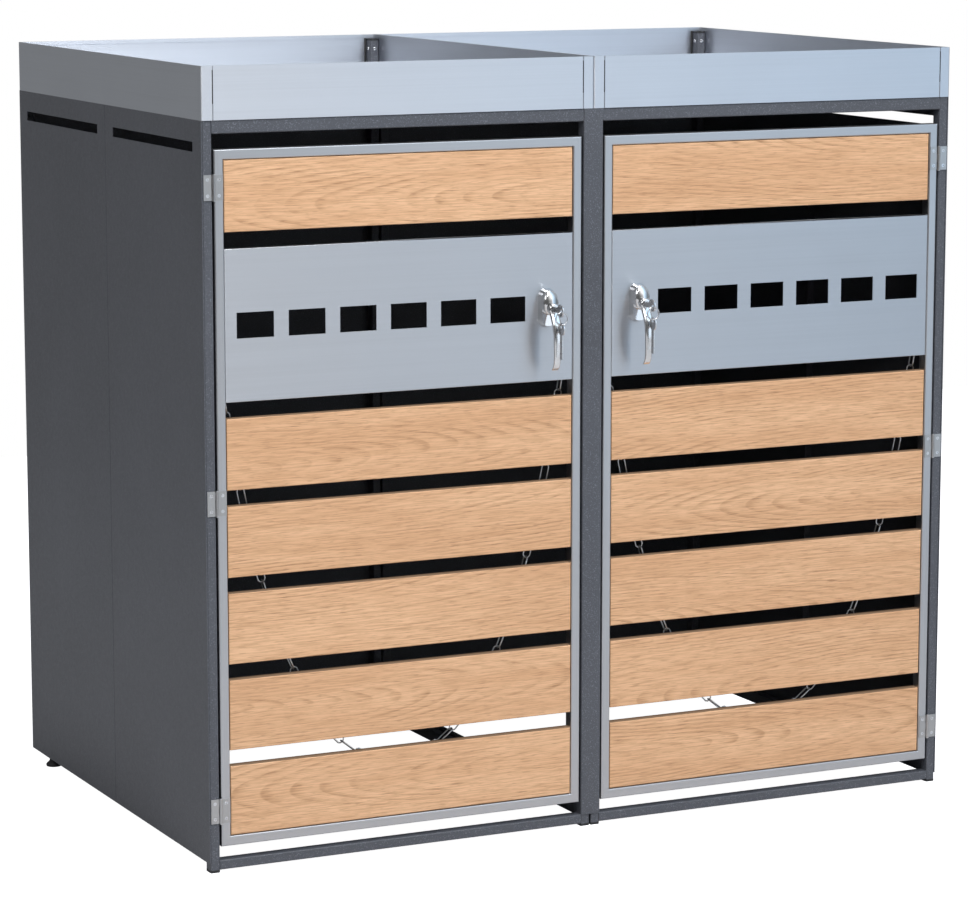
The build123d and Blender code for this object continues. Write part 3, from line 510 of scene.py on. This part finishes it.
def oak_finish(settings, grain):
    """Light oak: flat-cut growth rings in long open arches, broken up by fibres and short pores."""
    made = Finish("light_oak_board")
    wiring = made.wiring
    low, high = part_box(f"left_door_board_{BOARD_COUNT}")
    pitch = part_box(f"left_door_board_{BOARD_COUNT - 1}")[0].z - low.z
    x, y, z = wiring.axes(made.place)

    # The board's number, the height from its middle, and three random values that it has to itself
    rise = wiring.math("SUBTRACT", z, (low.z + high.z) / 2)
    number = wiring.math("ROUND", wiring.math("DIVIDE", rise, pitch))
    across = wiring.math("MULTIPLY_ADD", number, -pitch, rise)
    on_right = wiring.math("GREATER_THAN", x, 0.0)
    number = wiring.math("MULTIPLY_ADD", on_right, DOOR_STEP, number)
    lot = wiring.node("ShaderNodeTexWhiteNoise", {"noise_dimensions": "1D"}, W=number)
    first, second, third = wiring.axes(lot.outputs["Color"])
    along = wiring.math("MULTIPLY_ADD", first, TIMBER_LENGTH, x)

    def pattern(name):
        along_scale, across_scale, detail, seed = OAK_PATTERNS[name]
        place = wiring.joined(
            wiring.math("MULTIPLY", along, along_scale),
            wiring.math("MULTIPLY", across, across_scale),
            wiring.math("MULTIPLY_ADD", y, across_scale, seed),
        )
        return wiring.noise(place, detail=detail, roughness=0.55)

    # Rings round a heart that lies behind the board and slants away from it along its length
    middle = wiring.math("MULTIPLY", wiring.math("SIGN", x), abs(low.x + high.x) / 2)
    way = wiring.centred(wiring.math("GREATER_THAN", second, 0.5), 1.0)
    steepness = wiring.math("MULTIPLY", way, grain.ring_slant)
    slant = wiring.math("MULTIPLY", wiring.math("SUBTRACT", x, middle), steepness)
    depth = wiring.math("ADD", slant, grain.ring_slant * (high.x - low.x) / 2 + grain.ring_start)
    wave = wiring.centred(pattern("wave"), grain.wave)
    ripple = wiring.centred(pattern("ripple"), grain.ripple)
    reach = wiring.math("SUBTRACT", across, wiring.centred(third, grain.heart_shift))
    reach = wiring.math("ADD", reach, wiring.math("ADD", wave, ripple))
    squares = [wiring.math("POWER", side, 2.0) for side in (reach, depth)]
    radius = wiring.math("SQRT", wiring.math("ADD", *squares))
    ring = wiring.math("FRACT", wiring.math("DIVIDE", radius, grain.ring_spacing))
    darkening = wiring.span(ring, low=0.45, high=0.9)
    ending = wiring.span(ring, low=0.9, high=1.0, to_low=1.0, to_high=0.0)
    line = wiring.math("MULTIPLY", darkening, ending)

    # Fibres and gaps break up the rings, and pores lie closest along them
    fibre = wiring.span(pattern("fibre"), low=0.34, high=0.66)
    broken = wiring.span(pattern("break"), low=0.42, high=0.60, to_low=0.15)
    line = wiring.math("MULTIPLY", wiring.math("MULTIPLY", line, broken), wiring.at_least(fibre, 0.4))
    pore = wiring.span(pattern("pore"), low=0.54, high=0.66)
    pore = wiring.math("MULTIPLY", pore, wiring.at_least(line, 0.4))
    tone = wiring.span(pattern("tone"), low=0.3, high=0.7)
    wood = wiring.blend(tone, settings.oak_light, settings.oak_warm)
    for mask, strength, shade in (
        (fibre, grain.fibre_shade, settings.oak_ring),
        (line, grain.ring_shade, settings.oak_ring),
        (pore, grain.pore_shade, settings.oak_pore),
    ):
        wood = wiring.blend(wiring.math("MULTIPLY", mask, strength), wood, shade)

    # The broad faces show the wood, and the narrow faces a darker brown
    face = wiring.span(made.facing("Y"), low=0.35, high=0.75)
    edge_tone = wiring.mottle(pattern("edge_tone"), settings.oak_edge, dark=0.8, light=1.2)
    made.set(Base_Color=wiring.blend(face, edge_tone, wood), Specular_IOR_Level=0.35)
    edge_roughness = 0.7
    face_roughness = wiring.span(fibre, low=0.0, high=1.0, to_low=0.46, to_high=0.58)
    made.set(Roughness=wiring.either(face, edge_roughness, face_roughness))
    pore_height, ring_height, fibre_height = -1.0, -0.3, 0.25
    sunk_pore = wiring.math("MULTIPLY", pore, pore_height)
    sunk = wiring.math("ADD", sunk_pore, wiring.math("MULTIPLY", line, ring_height))
    made.bump(wiring.math("MULTIPLY_ADD", fibre, fibre_height, sunk), distance=0.0001, strength=0.5)
    return made.material


def plated_finish(name, tone):
    """Plated metal, cloudy with handling."""
    gloss, spread, density = PLATES[name]
    made = Finish(name)
    wiring = made.wiring
    cloud = made.effect("handling", Density=density)["Cloud"]
    grain = made.effect("coat_grain", Density=density * PEBBLES_PER_CLOUD)
    made.set(Base_Color=wiring.mottle(cloud, tone, dark=0.9, light=1.05), Metallic=1.0)
    made.set(Roughness=wiring.span(cloud, low=0.0, high=1.0, to_low=gloss, to_high=gloss + spread))
    made.bump(grain["Height"], distance=0.00002, strength=spread)
    return made.material


def plastic_finish(name, tone):
    """Dark moulded plastic with a fine grain."""
    made = Finish(name)
    wiring = made.wiring
    grain = made.effect("coat_grain", Density=PLASTIC_PEBBLES)
    cloud = made.effect("handling", Density=30.0)["Cloud"]
    made.set(Base_Color=wiring.mottle(cloud, tone, dark=0.8, light=1.5))
    made.set(Roughness=wiring.span(grain["Height"], *PEBBLE_HEIGHTS, to_low=0.42, to_high=0.6))
    made.bump(grain["Height"], distance=0.0001, strength=0.5)
    return made.material


def finish_nodes(names, material):
    """Give CAD nodes their finish."""
    for name in names:
        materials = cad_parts[name].data.materials
        materials.clear()
        materials.append(material)


def both(*names):
    """The left and right node of each name."""
    return [f"{side}_{name}" for side in SIDES for name in names]


def start_shape():
    """Leave nothing selected before a new shape is added."""
    bpy.ops.object.select_all(action="DESELECT")


def end_shape():
    """Leave edit mode, and hand over the shape at the origin with its low angles shaded smooth."""
    bpy.ops.object.mode_set(mode="OBJECT")
    bpy.ops.object.transform_apply(location=True, rotation=True, scale=True)
    bpy.ops.object.shade_smooth_by_angle(angle=SMOOTH_ANGLE)
    return bpy.context.object


def pick(kind, passes):
    """Select only the vertices, edges or faces that pass, in edit mode."""
    bpy.ops.mesh.select_mode(type=kind)
    bpy.ops.mesh.select_all(action="DESELECT")
    mesh = bpy.context.edit_object.data
    shape = bmesh.from_edit_mesh(mesh)
    items = {"VERT": shape.verts, "EDGE": shape.edges, "FACE": shape.faces}[kind]
    chosen = [item for item in items if passes(item)]
    if not chosen:
        raise RuntimeError("nothing to shape on " + mesh.name)
    for item in chosen:
        item.select_set(True)
    bmesh.update_edit_mesh(mesh)


def copied(master, places, name):
    """One object at the origin, joined from a copy of the master at each place."""
    pieces = []
    for place in places:
        piece = master.copy()
        piece.data = master.data.copy()
        piece.data.transform(place)
        bpy.context.scene.collection.objects.link(piece)
        pieces.append(piece)
    bpy.data.objects.remove(master)
    start_shape()
    for piece in pieces:
        piece.select_set(True)
    bpy.context.view_layer.objects.active = pieces[0]
    bpy.ops.object.join()
    pieces[0].name = name
    pieces[0].data.name = name
    return pieces[0]


def long_link(sizes):
    """One link along X in the XY plane: a wire ring drawn apart into two straight runs."""
    start_shape()
    bend = (sizes.link_width + sizes.link_wire) / 2
    bpy.ops.mesh.primitive_torus_add(
        major_segments=10, minor_segments=6, major_radius=bend, minor_radius=sizes.link_wire / 2
    )
    straight = sizes.link_pitch - sizes.link_width
    bpy.ops.object.mode_set(mode="EDIT")
    for way in (-1, 1):
        pick("VERT", lambda vertex: vertex.co.x * way > 0)
        bpy.ops.transform.translate(value=(way * straight / 2, 0, 0))
    bpy.ops.object.mode_set(mode="OBJECT")
    bpy.ops.object.shade_smooth()
    return bpy.context.object


def hanging_curve(half_span, rise):
    """The size of the hanging curve that climbs a given rise over half its span, found by halving."""
    low, high = half_span / WIDEST_RATIO, half_span * WIDEST_RATIO
    for _ in range(HALVINGS):
        size = (low + high) / 2
        if size * (math.cosh(half_span / size) - 1) > rise:
            low = size
        else:
            high = size
    return size


def link_places(side, sizes):
    """Where the links of one door's chain hang behind it, each turned a quarter from its neighbours."""
    door_low, door_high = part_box(f"{side}_door_frame")
    chain_low, chain_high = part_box(f"{side}_chain")
    lowest = door_low.z + sizes.chain_low
    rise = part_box(f"{side}_window_panel")[0].z + sizes.chain_end - lowest
    half_span = (door_high.x - door_low.x - sizes.stile) / 2
    curve = hanging_curve(half_span, rise)
    half_length = curve * math.sinh(half_span / curve)
    end = half_length - (sizes.link_pitch / 2 - sizes.pin_radius - sizes.link_play)
    count = math.ceil(end / (sizes.link_pitch - sizes.link_play))
    middle = Vector(((door_low.x + door_high.x) / 2, (chain_low.y + chain_high.y) / 2, lowest))
    for number in range(-count, count + 1):
        arc = number * end / count
        across = curve * math.asinh(arc / curve)
        place = middle + Vector((across, 0, curve * (math.cosh(across / curve) - 1)))
        flat = QUARTER_TURN if (count - number) % 2 == 0 else 0.0
        slope = Matrix.Rotation(-math.atan(arc / curve), 4, "Y")
        yield Matrix.Translation(place) @ slope @ Matrix.Rotation(flat, 4, "X")


def pan_screw(sizes):
    """One low round screw head along Z, with a softened rim and a sunk drive."""
    start_shape()
    height, radius = sizes.head_height, sizes.head_radius
    rim, drive_depth, drive_wall = 0.6 * height, 0.4 * height, 0.25 * radius
    bpy.ops.mesh.primitive_cylinder_add(vertices=12, radius=radius, depth=height, location=(0, 0, height / 2))
    bpy.ops.object.mode_set(mode="EDIT")
    pick("EDGE", lambda edge: all(vertex.co.z > 0 for vertex in edge.verts))
    bpy.ops.mesh.bevel(offset=rim, segments=3, affect="EDGES")
    pick("FACE", lambda face: face.normal.z > SQUARE_ON)
    bpy.ops.mesh.inset(thickness=drive_wall)
    bpy.ops.mesh.extrude_region_move(TRANSFORM_OT_translate={"value": (0, 0, -drive_depth)})
    return end_shape()


def planter_screw_places(sizes):
    """Two screw places on the inner faces of each corner post, just below its cap."""
    for side in SIDES:
        for frame_name, face_y in ((f"{side}_front_frame", 1), (f"{side}_rear_frame", -1)):
            low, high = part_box(frame_name)
            z = high.z - sizes.head_drop
            for post_x, face_x in ((low.x + sizes.post / 2, 1), (high.x - sizes.post / 2, -1)):
                turn = Matrix.Rotation(face_x * QUARTER_TURN, 4, "Y")
                yield Matrix.Translation((post_x + face_x * sizes.post / 2, (low.y + high.y) / 2, z)) @ turn
                turn = Matrix.Rotation(-face_y * QUARTER_TURN, 4, "X")
                yield Matrix.Translation((post_x, high.y if face_y > 0 else low.y, z)) @ turn


def seam_span(sizes):
    """The open stretch of the planter seams: from the top of the tray's upstand to the foot of the hem."""
    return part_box("left_planter_tray")[1].z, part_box("left_planter_front")[1].z - sizes.hem


def seam_strip(sizes):
    """One upright strip whose front lies in the XZ plane, with a rib that reaches out into the seam."""
    start_shape()
    low, high = seam_span(sizes)
    bpy.ops.mesh.primitive_cube_add(size=1.0)
    bpy.ops.object.mode_set(mode="EDIT")
    height = high - low - 2 * sizes.strip_play
    bpy.ops.transform.resize(value=(sizes.strip_width, sizes.strip_depth, height))
    bpy.ops.transform.translate(value=(0, sizes.strip_depth / 2, 0))
    pick("FACE", lambda face: face.normal.y < -SQUARE_ON)
    bpy.ops.mesh.inset(thickness=(sizes.strip_width - sizes.seam) / 2 + sizes.strip_play)
    bpy.ops.mesh.extrude_region_move(TRANSFORM_OT_translate={"value": (0, -sizes.strip_rib, 0)})
    pick("EDGE", lambda edge: all(vertex.co.y > sizes.strip_depth / 2 for vertex in edge.verts))
    bpy.ops.mesh.bevel(offset=sizes.strip_depth / 4, segments=2, affect="EDGES")
    return end_shape()


def seam_places(sizes):
    """Where the strips stand: on the inner faces of the front and back walls, behind both end seams."""
    middle = sum(seam_span(sizes)) / 2
    for side in SIDES:
        walls = [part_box(f"{side}_planter_{name}") for name in ("outer_wall", "inner_wall")]
        left, right = sorted(walls, key=lambda box: box[0].x)
        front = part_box(f"{side}_planter_front")[0].y + sizes.sheet
        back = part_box(f"{side}_planter_back")[1].y - sizes.sheet
        for x in (left[1].x + sizes.seam / 2, right[0].x - sizes.seam / 2):
            yield Matrix.Translation((x, front, middle))
            yield Matrix.Translation((x, back, middle)) @ Matrix.Rotation(math.pi, 4, "Z")


class CoatFrames(bpy.types.Operator):
    """Powder coat on the tube frames, the cladding sheets and the joint cover"""

    bl_idname = "bin_store.coat_frames"
    bl_label = "Coat frames and sheets"

    def execute(self, context):
        frames = both("front_frame", "rear_frame", "side_rails")
        sheets = both("side_panel_front", "side_panel_rear", "back_panel")
        finish_nodes(["joint_cover", *frames, *sheets], coat_finish(context.scene.bin_store_finishes))
        return {"FINISHED"}


class BrushPlanters(bpy.types.Operator):
    """Brushed steel on the planter walls and trays"""

    bl_idname = "bin_store.brush_planters"
    bl_label = "Brush planters"

    def execute(self, context):
        settings = context.scene.bin_store_finishes
        tone, gloss = settings.planter_steel, settings.sheet_gloss
        for name, pieces, across, brushing in (
            ("brushed_planter_front", ("planter_front", "planter_back"), "YZ", settings.brushing),
            ("brushed_planter_end", ("planter_outer_wall", "planter_inner_wall"), "XZ", settings.brushing),
            ("brushed_planter_tray", ("planter_tray",), "YZ", 0.0),
        ):
            finish_nodes(both(*pieces), sheet_finish(name, tone, gloss, across, brushing))
        return {"FINISHED"}


class BrushDoors(bpy.types.Operator):
    """Brushed steel on the door frames and window panels"""

    bl_idname = "bin_store.brush_doors"
    bl_label = "Brush door frames and panels"

    def execute(self, context):
        settings = context.scene.bin_store_finishes
        finish_nodes(both("door_frame"), door_tube_finish(settings))
        tone, gloss = settings.panel_steel, settings.sheet_gloss
        panel = sheet_finish("brushed_window_panel", tone, gloss, "YZ", settings.brushing)
        finish_nodes(both("window_panel"), panel)
        return {"FINISHED"}


class GrainBoards(bpy.types.Operator):
    """Light oak on the door boards"""

    bl_idname = "bin_store.grain_boards"
    bl_label = "Grain door boards"

    def execute(self, context):
        names = both(*(f"door_board_{number + 1}" for number in range(BOARD_COUNT)))
        oak = oak_finish(context.scene.bin_store_finishes, context.scene.bin_store_grain)
        finish_nodes(names, oak)
        return {"FINISHED"}


class PlateLocks(bpy.types.Operator):
    """Chrome on the levers and housings, zinc on the cams and keys"""

    bl_idname = "bin_store.plate_locks"
    bl_label = "Plate locks"

    def execute(self, context):
        settings = context.scene.bin_store_finishes
        finish_nodes(both("lock_housing", "handle"), plated_finish("chrome_plate", settings.chrome))
        finish_nodes(both("lock_cam", "keys"), plated_finish("zinc_plate", settings.zinc))
        return {"FINISHED"}


class FinishFasteners(bpy.types.Operator):
    """Plain steel on the hinges, plated steel on screws and bolts"""

    bl_idname = "bin_store.finish_fasteners"
    bl_label = "Finish hinges and fasteners"

    def execute(self, context):
        settings = context.scene.bin_store_finishes
        leaves = sheet_finish("plain_hinge_steel", settings.hinge, settings.steel_gloss, "XY")
        finish_nodes(["hinge_post_leaves", *both("door_hinge_leaves")], leaves)
        screws = plated_finish("bright_screw_plate", tinted(settings.zinc, SCREW_LIGHTNESS))
        finish_nodes(["hinge_pins_and_screws", "back_screws", "module_bolts", *both("door_screws")], screws)
        return {"FINISHED"}


class MouldPlastic(bpy.types.Operator):
    """Black plastic on the caps, feet and glides"""

    bl_idname = "bin_store.mould_plastic"
    bl_label = "Mould caps, feet and glides"

    def execute(self, context):
        plastic = plastic_finish("black_moulded_plastic", context.scene.bin_store_finishes.plastic)
        finish_nodes(["post_caps", "post_feet", "rear_glides"], plastic)
        return {"FINISHED"}


class HangChains(bpy.types.Operator):
    """A chain of long links behind each door"""

    bl_idname = "bin_store.hang_chains"
    bl_label = "Hang chains"

    def execute(self, context):
        sizes = context.scene.bin_store_fittings
        # The chains' zinc is lightened beyond the keys' as painted light, for light that hardly reaches them
        # behind the doors
        zinc = tinted(context.scene.bin_store_finishes.zinc, CHAIN_PAINTED_LIGHTNESS)
        plate = plated_finish("chain_plate", zinc)
        for side in SIDES:
            chain = copied(long_link(sizes), link_places(side, sizes), f"{side}_chain_links")
            chain.data.materials.append(plate)
            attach(chain, f"{side}_door")
            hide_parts(f"{side}_chain")
        return {"FINISHED"}


class DrivePlanterScrews(bpy.types.Operator):
    """Low round screws at the corner posts inside the planters"""

    bl_idname = "bin_store.drive_planter_screws"
    bl_label = "Drive planter screws"

    def execute(self, context):
        sizes = context.scene.bin_store_fittings
        plate = plated_finish("planter_screw_plate", context.scene.bin_store_finishes.zinc)
        screws = copied(pan_screw(sizes), planter_screw_places(sizes), "planter_screws")
        screws.data.materials.append(plate)
        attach(screws, "cabinet")
        return {"FINISHED"}


class SealSeams(bpy.types.Operator):
    """A dark strip behind each corner seam of the planters"""

    bl_idname = "bin_store.seal_seams"
    bl_label = "Seal planter seams"

    def execute(self, context):
        sizes = context.scene.bin_store_fittings
        strips = copied(seam_strip(sizes), seam_places(sizes), "planter_seam_strips")
        strips.data.materials.append(plastic_finish("seam_rubber", context.scene.bin_store_finishes.plastic))
        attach(strips, "cabinet")
        return {"FINISHED"}


def floor_finish(tone):
    """Pale floor that stays near white where the camera sees it."""
    made = Finish("pale_floor")
    wiring = made.wiring
    cloud = made.effect("handling", Density=0.6)["Cloud"]
    made.set(Base_Color=wiring.mottle(cloud, tone, dark=0.985, light=1.0), Roughness=0.75)
    seen = wiring.node("ShaderNodeLightPath").outputs["Is Camera Ray"]
    made.set(Emission_Color=rgba(WHITE), Emission_Strength=seen)
    return made.material


def room_light(wiring, turn, lights):
    """The colours of the room at one height, round the object."""
    ramp = wiring.node("ShaderNodeValToRGB", None, Fac=turn)
    stops = ramp.color_ramp.elements
    while len(stops) < len(ROOM):
        stops.new(1.0)
    for stop, light, (degrees, _, _, warmth) in zip(stops, lights, ROOM):
        stop.position = degrees / FULL_CIRCLE + 0.5
        stop.color = (light * warmth, light * (1.0 + warmth) / 2, light, 1.0)
    return ramp.outputs[0]


def studio_world():
    """Soft room: bright in front, above all high up, with dim corners, and white where the camera sees it."""
    world = bpy.data.worlds.new("studio")
    world.use_nodes = True
    wiring = Wiring(world.node_tree)
    x, y, z = wiring.axes(wiring.node("ShaderNodeTexCoord").outputs["Generated"])
    turn = wiring.math("DIVIDE", wiring.math("ARCTAN2", x, wiring.math("MULTIPLY", y, -1.0)), math.tau)
    turn = wiring.math("ADD", turn, 0.5)
    _, low_lights, high_lights, _ = zip(*ROOM)
    low, high = (room_light(wiring, turn, lights) for lights in (low_lights, high_lights))
    tone = wiring.blend(wiring.span(z, *ROOM_HEIGHTS), low, high)
    seen = wiring.node("ShaderNodeLightPath").outputs["Is Camera Ray"]
    room = wiring.node("ShaderNodeBackground", None, Color=tone, Strength=1.0)
    paper = wiring.node("ShaderNodeBackground", None, Color=rgba(WHITE), Strength=1.0)
    mixed = wiring.row("ShaderNodeMixShader", None, (seen, room.outputs[0], paper.outputs[0]))
    wiring.node("ShaderNodeOutputWorld", Surface=mixed)
    return world


def soft_lamp(name, watts, place, width, height):
    """A soft box that looks at the middle of the object."""
    data = bpy.data.lights.new(name, "AREA")
    data.shape = "RECTANGLE"
    data.energy, data.size, data.size_y = watts, width, height
    lamp = bpy.data.objects.new(name, data)
    lamp.location = place
    lamp.rotation_euler = (Vector(LAMP_AIM) - Vector(place)).to_track_quat("-Z", "Y").to_euler()
    bpy.context.scene.collection.objects.link(lamp)


class SetStage(bpy.types.Operator):
    """Pale floor, soft lights and the camera"""

    bl_idname = "bin_store.set_stage"
    bl_label = "Set stage"

    def execute(self, context):
        settings = context.scene.bin_store_stage
        start_shape()
        bpy.ops.mesh.primitive_plane_add(size=settings.floor_size)
        floor = context.object
        floor.name = "studio_floor"
        floor.data.materials.append(floor_finish(settings.floor))
        for name, (place, width, height) in LAMPS.items():
            soft_lamp(f"{name}_light", getattr(settings, name), place, width, height)
        context.scene.world = studio_world()
        context.scene.view_settings.view_transform = "Standard"
        data = bpy.data.cameras.new("photo_camera")
        data.lens = settings.lens
        camera = bpy.data.objects.new("photo_camera", data)
        camera.location = settings.eye
        camera.rotation_euler = (QUARTER_TURN - settings.pitch, 0.0, -settings.yaw)
        context.scene.collection.objects.link(camera)
        context.scene.camera = camera
        return {"FINISHED"}


STEPS = (
    CoatFrames,
    BrushPlanters,
    BrushDoors,
    GrainBoards,
    PlateLocks,
    FinishFasteners,
    MouldPlastic,
    HangChains,
    DrivePlanterScrews,
    SealSeams,
    SetStage,
)
SETTINGS = {
    "bin_store_finishes": BinStoreFinishes,
    "bin_store_grain": BinStoreGrain,
    "bin_store_fittings": BinStoreFittings,
    "bin_store_stage": BinStoreStage,
}


class BinStorePanel(bpy.types.Panel):
    """The steps that dress the bin store, and their settings"""

    bl_idname = "VIEW3D_PT_bin_store"
    bl_label = "Bin Store"
    bl_space_type = "VIEW_3D"
    bl_region_type = "UI"
    bl_category = "Bin Store"

    def draw(self, context):
        for name, group in SETTINGS.items():
            box = self.layout.box()
            for setting in group.__annotations__:
                box.prop(getattr(context.scene, name), setting)
        for step in STEPS:
            self.layout.operator(step.bl_idname)


CLASSES = (*SETTINGS.values(), *STEPS, BinStorePanel)


def register():
    for kind in CLASSES:
        bpy.utils.register_class(kind)
    for name, group in SETTINGS.items():
        setattr(bpy.types.Scene, name, PointerProperty(type=group))


def unregister():
    for name in SETTINGS:
        delattr(bpy.types.Scene, name)
    for kind in reversed(CLASSES):
        bpy.utils.unregister_class(kind)


def main():
    register()
    for step in STEPS:
        group, action = step.bl_idname.split(".")
        getattr(getattr(bpy.ops, group), action)()


if __name__ == "__main__":
    main()
